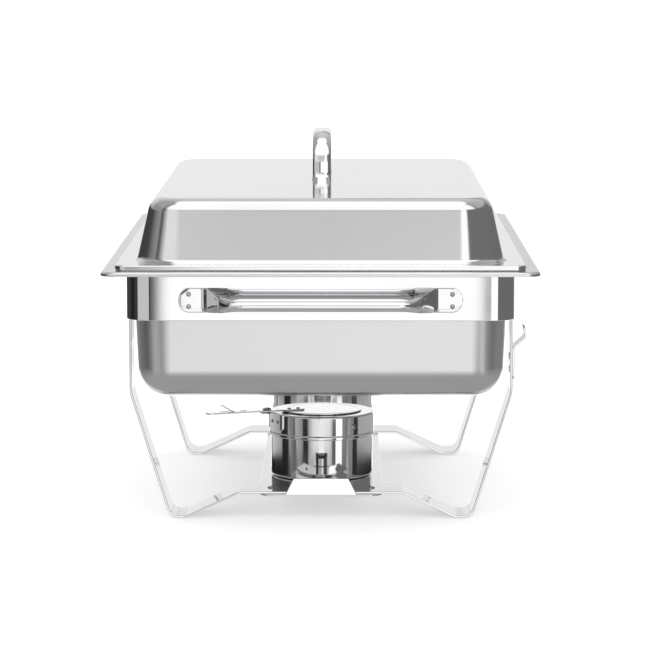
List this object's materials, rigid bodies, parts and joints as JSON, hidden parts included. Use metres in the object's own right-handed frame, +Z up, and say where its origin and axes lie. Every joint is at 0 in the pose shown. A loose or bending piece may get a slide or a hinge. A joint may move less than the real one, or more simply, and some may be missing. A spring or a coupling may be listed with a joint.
{
  "type": "chafing dish food warmer",
  "caption": "Rectangular stainless chafing dish: lift-off lid, food and water pans, strip-leg frame with carry handles and two fuel burners that slide on a shelf.",
  "frame": {"origin": "on the table under the centre of the dish", "axes": "+X across the dish towards the lid hooks, +Y along it towards the rear, +Z up"},
  "size_m": [0.356, 0.621, 0.3167],
  "materials": {
    "polished_steel": "mirror-polished stainless sheet and strip",
    "satin_steel": "satin brushed stainless sheet",
    "burner_steel": "bright pressed stainless",
    "fastener_steel": "bright rivets and screws"
  },
  "bodies": {
    "frame": {"frame_band": "polished_steel", "front_leg_strip": "polished_steel", "rear_leg_strip": "polished_steel", "leg_rivets": "fastener_steel", "burner_shelf": "polished_steel", "shelf_rivets": "fastener_steel", "front_carry_handle": "polished_steel", "rear_carry_handle": "polished_steel", "front_handle_rivets": "fastener_steel", "rear_handle_rivets": "fastener_steel", "front_lid_hook": "polished_steel", "rear_lid_hook": "polished_steel", "lid_hook_rivets": "fastener_steel"},
    "water_pan": {"water_pan": "satin_steel"},
    "food_pan": {"food_pan": "satin_steel"},
    "lid": {"lid_shell": "satin_steel", "lid_handle": "polished_steel", "lid_handle_screws": "fastener_steel", "lid_handle_washers": "fastener_steel"},
    "front_burner": {"front_burner_cup": "burner_steel"},
    "front_cover": {"front_burner_cover": "burner_steel", "front_snuffer_bracket": "burner_steel", "front_bracket_rivets": "fastener_steel", "front_cover_stud": "fastener_steel", "front_pivot_rivet": "fastener_steel"},
    "front_snuffer": {"front_snuffer_disc": "burner_steel", "front_snuffer_lever": "burner_steel", "front_lever_rivets": "fastener_steel"},
    "rear_burner": {"rear_burner_cup": "burner_steel"},
    "rear_cover": {"rear_burner_cover": "burner_steel", "rear_snuffer_bracket": "burner_steel", "rear_bracket_rivets": "fastener_steel", "rear_cover_stud": "fastener_steel", "rear_pivot_rivet": "fastener_steel"},
    "rear_snuffer": {"rear_snuffer_disc": "burner_steel", "rear_snuffer_lever": "burner_steel", "rear_lever_rivets": "fastener_steel"}
  },
  "joints": [
    {"name": "water_pan_lift", "type": "slide", "parent": "frame", "child": "water_pan", "axis": [0, 0, 1], "range_m": [0, 0.13]},
    {"name": "food_pan_lift", "type": "slide", "parent": "water_pan", "child": "food_pan", "axis": [0, 0, 1], "range_m": [0, 0.09]},
    {"name": "lid_lift", "type": "slide", "parent": "food_pan", "child": "lid", "axis": [0, 0, 1], "range_m": [0, 0.12]},
    {"name": "front_burner_slide", "type": "slide", "parent": "frame", "child": "front_burner", "axis": [-1, 0, 0], "range_m": [0, 0.07]},
    {"name": "front_cover_lift", "type": "slide", "parent": "front_burner", "child": "front_cover", "axis": [0, 0, 1], "range_m": [0, 0.016]},
    {"name": "front_snuffer_swing", "type": "hinge", "parent": "front_cover", "child": "front_snuffer", "pos_m": [-0.04745, -0.09627, 0.0777], "axis": [0, 0, 1], "range_deg": [0, 90]},
    {"name": "rear_burner_slide", "type": "slide", "parent": "frame", "child": "rear_burner", "axis": [1, 0, 0], "range_m": [0, 0.07]},
    {"name": "rear_cover_lift", "type": "slide", "parent": "rear_burner", "child": "rear_cover", "axis": [0, 0, 1], "range_m": [0, 0.016]},
    {"name": "rear_snuffer_swing", "type": "hinge", "parent": "rear_cover", "child": "rear_snuffer", "pos_m": [0.04745, 0.09627, 0.0777], "axis": [0, 0, 1], "range_deg": [0, 90]}
  ]
}
